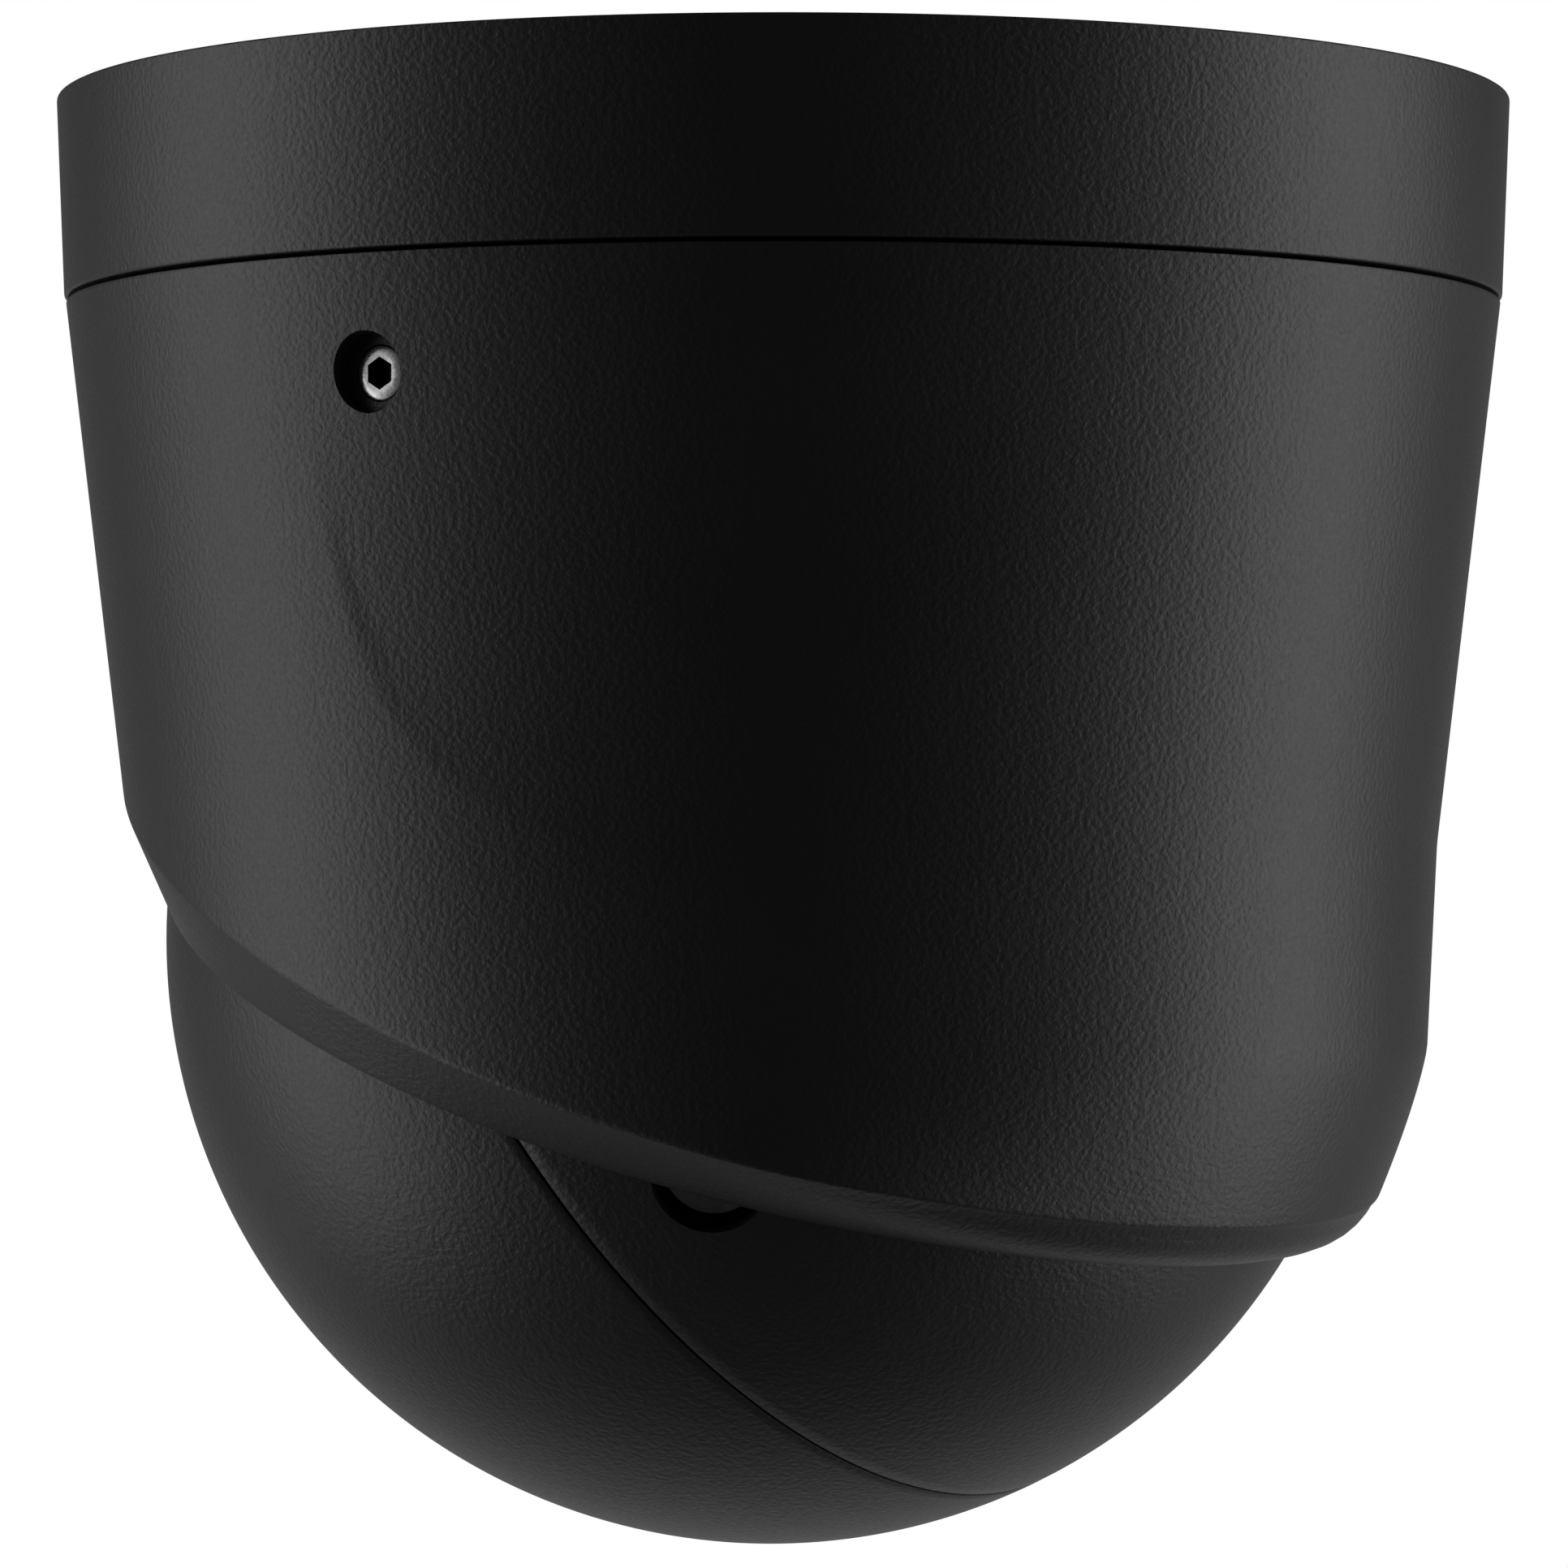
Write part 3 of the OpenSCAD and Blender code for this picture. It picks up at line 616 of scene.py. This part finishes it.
def shell_profile(radius, low, high, front):
    """Half of a hollow ball between two heights, with a rounded edge at the seam."""
    outside, inside = [], []
    inner = radius - SHELL_WALL
    edge = SEAM_EDGE
    first, last = math.asin(low / radius), math.asin(high / radius)
    for index in range(SHELL_STEPS + 1):
        angle = first + (last - first) * index / SHELL_STEPS
        outside.append((radius * math.cos(angle), radius * math.sin(angle)))
    first = math.asin(max(-1.0, low / inner))
    last = math.asin(min(1.0, high / inner))
    for index in range(SHELL_STEPS + 1):
        angle = first + (last - first) * index / SHELL_STEPS
        inside.append((inner * math.cos(angle), inner * math.sin(angle)))
    if front:
        start = outside[0]
        outside[0] = (start[0] - edge, start[1])
        outside.insert(1, (start[0] - edge * 0.3, start[1] + edge * 0.12))
        outside.insert(2, (start[0] - edge * 0.05, start[1] + edge * 0.45))
    else:
        end = outside[-1]
        outside[-1] = (end[0] - edge * 0.05, end[1] - edge * 0.45)
        outside.append((end[0] - edge * 0.3, end[1] - edge * 0.12))
        outside.append((end[0] - edge, end[1]))
    return outside, inside


class OBJECT_OT_turret_ball(bpy.types.Operator):
    """Makes the front and rear shells of the ball"""
    bl_idname = "turret.ball"
    bl_label = "Ball shells"

    def execute(self, context):
        sizes = context.scene.turret_ball
        radius = sizes.radius
        outside, inside = shell_profile(radius, 0.00116, 0.0407, True)
        seat = [(0.0207, 0.0403), (0.0207, 0.0372), (0.0159, 0.0372), (0.0159, 0.0353)]
        rim = math.sqrt(0.043 ** 2 - 0.0353 ** 2)
        inside = [point for point in inside if point[1] < 0.0352] + [(rim, 0.0353)]
        profile = outside[:-1] + [(0.02095, 0.04082), (0.0208, 0.04075)] + seat + inside[::-1]
        shape = spin_profile(profile + [profile[0]], 320, TO_BALL)
        front = to_object(shape, "ball_front")
        sharpen(front, 40)
        settle(front, "ball", "powder_coat", "powder_coat", "ball_front_shell")

        outside, inside = shell_profile(radius, -0.0449, 0.00096, False)
        pole = math.sqrt(radius ** 2 - 0.0449 ** 2)
        outside = [point for point in outside if point[0] > pole]
        inside = [point for point in inside if point[0] > 0.0116 and point[1] > -0.0429]
        rear_hole = [
            (0.0115, -0.04), (0.0069, -0.04), (0.0069, -0.0433), (0.0093, -0.0433),
            (0.0093, -0.0447), (0.0095, -0.0449)]
        profile = rear_hole + outside + inside[::-1] + [(0.0115, -0.0414)]
        shape = spin_profile(profile + [profile[0]], 320, TO_BALL)
        rear = to_object(shape, "ball_rear")
        cutters = []
        joined = bmesh.new()
        pocket = sizes.pocket_radius
        for turn in THIRDS:
            out = TO_BALL @ Matrix.Rotation(math.radians(turn), 4, "Z")
            out = out @ Matrix.Rotation(SHELL_SCREW_TILT, 4, "Y")
            hole = spin_profile(
                [(0.0, 0.038), (0.00145, 0.038), (0.00145, 0.0424), (pocket, 0.0424), (pocket, 0.06),
                 (0.0, 0.06)], 96, out)
            cutters.append(to_object(hole, "pocket"))
            cup = spin_profile(
                [(0.00145, 0.041), (0.0054, 0.041), (0.0054, 0.0434), (pocket - 0.00003, 0.0434),
                 (pocket - 0.00003, 0.0424), (0.00145, 0.0424), (0.00145, 0.041)], 96, out)
            mesh = bpy.data.meshes.new("cup")
            cup.to_mesh(mesh)
            cup.free()
            joined.from_mesh(mesh)
            bpy.data.meshes.remove(mesh)
        cut_away(rear, cutters)
        sharpen(rear, 40)
        settle(rear, "ball", "powder_coat", "powder_coat", "ball_rear_shell")
        bmesh.ops.recalc_face_normals(joined, faces=joined.faces)
        lining = to_object(joined, "screw_pockets")
        sharpen(lining, 40)
        settle(lining, "ball", "powder_coat", "powder_coat")
        return {"FINISHED"}


class OBJECT_OT_turret_bezel(bpy.types.Operator):
    """Makes the ring around the front window"""
    bl_idname = "turret.bezel"
    bl_label = "Window bezel"

    def execute(self, context):
        profile = [
            (0.01855, 0.0372), (0.0206, 0.0372), (0.0206, 0.0409), (0.0201, 0.0412), (0.0195, 0.0414),
            (0.0182, 0.0414), (0.0176, 0.0410), (0.0176, 0.04025), (0.01855, 0.04025)]
        shape = spin_profile(soften(profile, 0.0002), 288, TO_BALL)
        piece = to_object(shape, "window_bezel")
        sharpen(piece, 40)
        settle(piece, "ball", "satin_black", "satin_black", "front_bezel")
        return {"FINISHED"}


class OBJECT_OT_turret_set_screw(bpy.types.Operator):
    """Makes the set screw with its hexagon socket, whose inside is painted near-black as painted shade"""
    bl_idname = "turret.set_screw"
    bl_label = "Set screw"

    def execute(self, context):
        start, end = 0.0501, 0.0518
        radius = 0.00195
        profile = [(0.0, start), (radius - 0.0002, start)]
        pitch = 0.0007
        height = start + 0.0001
        while height + pitch < end - 0.0003:
            profile += [(radius, height + 0.0001), (radius, height + 0.00025),
                        (radius - 0.0003, height + 0.00045), (radius - 0.0003, height + 0.0005)]
            height += pitch
        profile += [(radius, end - 0.0004), (radius, end - 0.00024), (radius - 0.0001, end - 0.00008),
                    (radius - 0.0003, end), (0.00125, end), (0.0, end)]
        piece = to_object(spin_profile(profile, 96, TO_SET_SCREW), "set_screw_body")
        across = 0.001 / math.cos(math.radians(30))
        socket = spin_profile(
            [(0.0, end - 0.001), (across, end - 0.001), (across, end + 0.001), (0.0, end + 0.001)],
            6, TO_SET_SCREW)
        cut_away(piece, [to_object(socket, "socket", False)])
        sharpen(piece, 30)
        settle(piece, "set_screw", "set_screw", "steel", "set_screw")
        # The socket's walls and floor get the near-black finish, painted shade for the dark inside of the
        # recess
        piece.data.materials.append(finish_of("socket_painted_shade"))
        outwards = TO_SET_SCREW.inverted()
        for face in piece.data.polygons:
            place = outwards @ face.center
            inside = math.hypot(place.x, place.y) < across * 1.01
            face.material_index = int(inside and start + 0.0003 < place.z < end - 0.00002)
        return {"FINISHED"}


class OBJECT_OT_turret_finishes(bpy.types.Operator):
    """Gives each carried-over part its finish"""
    bl_idname = "turret.finishes"
    bl_label = "Part finishes"

    def execute(self, context):
        slots = {}
        for entry in frame["record"]["subparts"]:
            slots[entry["node"]] = entry["material_slot"]
        special = {"image_sensor": "sensor", "shell_screws": "dark_steel", "gland_body": "dark_steel",
                   "gland_nut": "dark_steel"}
        for node, piece in NODES.items():
            name = special.get(node, slots[node])
            piece.data.materials.clear()
            piece.data.materials.append(finish_of(name))
        return {"FINISHED"}


# Stage

def strip(name, azimuth, power):
    """A soft lamp at an angle from the camera's side, aimed at the camera body."""
    lamp = bpy.data.lights.new(name, "AREA")
    lamp.shape = "RECTANGLE"
    lamp.size = STRIP_WIDTH
    lamp.size_y = STRIP_HEIGHT
    lamp.energy = power
    holder = bpy.data.objects.new(name, lamp)
    bpy.context.scene.collection.objects.link(holder)
    turn = CAMERA_AZIMUTH + azimuth
    away = Vector((math.sin(turn), -math.cos(turn), 0.0))
    centre = Vector((0, 0, -0.055))
    holder.location = centre + away * STRIP_DISTANCE
    holder.rotation_mode = "QUATERNION"
    holder.rotation_quaternion = away.to_track_quat("Z", "Y")


def pale_world():
    """A pale room: bright behind the camera body, dim on the viewer's side, plain white to the eye."""
    world = bpy.data.worlds.new("pale room")
    bpy.context.scene.world = world
    world.use_nodes = True
    tree = world.node_tree
    tree.nodes.clear()
    place = add_node(tree, "ShaderNodeTexCoord")
    towards = Vector((math.sin(CAMERA_AZIMUTH), -math.cos(CAMERA_AZIMUTH), 0.0))
    bright = -towards * math.cos(GLOW_DROP) - Vector((0, 0, math.sin(GLOW_DROP)))
    facing = add_node(tree, "ShaderNodeVectorMath", operation="DOT_PRODUCT")
    facing.inputs[1].default_value = bright
    tree.links.new(place.outputs["Generated"], facing.inputs[0])
    glow = remap(tree, facing.outputs["Value"], 0.6, 0.97, 0.07, 0.62)
    lit = add_node(tree, "ShaderNodeBackground")
    tree.links.new(glow, lit.inputs["Strength"])
    seen = add_node(tree, "ShaderNodeBackground")
    seen.inputs["Color"].default_value = (1, 1, 1, 1)
    seen.inputs["Strength"].default_value = 1.0
    path = add_node(tree, "ShaderNodeLightPath")
    mix = add_node(tree, "ShaderNodeMixShader")
    out = add_node(tree, "ShaderNodeOutputWorld")
    tree.links.new(path.outputs["Is Camera Ray"], mix.inputs["Fac"])
    tree.links.new(lit.outputs["Background"], mix.inputs[1])
    tree.links.new(seen.outputs["Background"], mix.inputs[2])
    tree.links.new(mix.outputs["Shader"], out.inputs["Surface"])


class OBJECT_OT_turret_stage(bpy.types.Operator):
    """Makes the floor, the lights and the camera"""
    bl_idname = "turret.stage"
    bl_label = "Stage"

    def execute(self, context):
        scene = context.scene
        scene.view_settings.view_transform = "Standard"
        floor = bmesh.new()
        bmesh.ops.create_circle(floor, cap_ends=True, segments=96, radius=1.6)
        bmesh.ops.translate(floor, verts=floor.verts, vec=(0, 0, -0.95))
        piece = to_object(floor, "floor", False)
        finish, tree, shader = new_finish("pale floor")
        cloud = noise(tree, object_point(tree), 3.0)
        tree.links.new(
            ramp(tree, cloud, [(0.3, (0.66, 0.66, 0.66)), (0.7, (0.7, 0.7, 0.7))]),
            shader.inputs["Base Color"])
        shader.inputs["Roughness"].default_value = 0.7
        piece.data.materials.append(finish)
        piece.visible_glossy = False
        piece.visible_diffuse = False

        pale_world()
        strip("left strip", -STRIP_TURN, 5.7)
        strip("right strip", STRIP_TURN, 6.4)

        camera = bpy.data.cameras.new("camera")
        camera.lens = 133.94
        camera.sensor_width = 36.0
        camera.clip_start = 0.01
        holder = bpy.data.objects.new("camera", camera)
        scene.collection.objects.link(holder)
        towards = Vector((math.sin(CAMERA_AZIMUTH), -math.cos(CAMERA_AZIMUTH), 0.0))
        across = Vector((math.cos(CAMERA_AZIMUTH), math.sin(CAMERA_AZIMUTH), 0.0))
        holder.location = towards * CAMERA_DISTANCE + across * CAMERA_SHIFT + Vector((0, 0, CAMERA_HEIGHT))
        look = -towards * math.cos(CAMERA_PITCH) + Vector((0, 0, math.sin(CAMERA_PITCH)))
        holder.rotation_mode = "QUATERNION"
        holder.rotation_quaternion = look.to_track_quat("-Z", "Y")
        scene.camera = holder
        return {"FINISHED"}


class VIEW3D_PT_turret(bpy.types.Panel):
    """Lists the steps that build the camera"""
    bl_label = "Ceiling turret camera"
    bl_idname = "VIEW3D_PT_turret"
    bl_space_type = "VIEW_3D"
    bl_region_type = "UI"
    bl_category = "Turret"

    def draw(self, context):
        layout = self.layout
        scene = context.scene
        for group in (scene.turret_base, scene.turret_trim, scene.turret_ball, scene.turret_finish):
            box = layout.box()
            for name in group.__annotations__:
                box.prop(group, name)
        for step in STEPS:
            layout.operator(step.bl_idname)


GROUPS = {
    "turret_base": BaseSettings,
    "turret_trim": TrimSettings,
    "turret_ball": BallSettings,
    "turret_finish": FinishSettings,
}
STEPS = (
    OBJECT_OT_turret_stage,
    OBJECT_OT_turret_finishes,
    OBJECT_OT_turret_base,
    OBJECT_OT_turret_trim,
    OBJECT_OT_turret_ball,
    OBJECT_OT_turret_bezel,
    OBJECT_OT_turret_set_screw,
)


def register():
    for made in (*GROUPS.values(), *STEPS, VIEW3D_PT_turret):
        bpy.utils.register_class(made)
    for name, group in GROUPS.items():
        setattr(bpy.types.Scene, name, bpy.props.PointerProperty(type=group))


def unregister():
    for name in GROUPS:
        delattr(bpy.types.Scene, name)
    for made in reversed((*GROUPS.values(), *STEPS, VIEW3D_PT_turret)):
        bpy.utils.unregister_class(made)


def main():
    register()
    bpy.ops.turret.stage()
    bpy.ops.turret.finishes()
    bpy.ops.turret.base()
    bpy.ops.turret.trim()
    bpy.ops.turret.ball()
    bpy.ops.turret.bezel()
    bpy.ops.turret.set_screw()


if __name__ == "__main__":
    main()
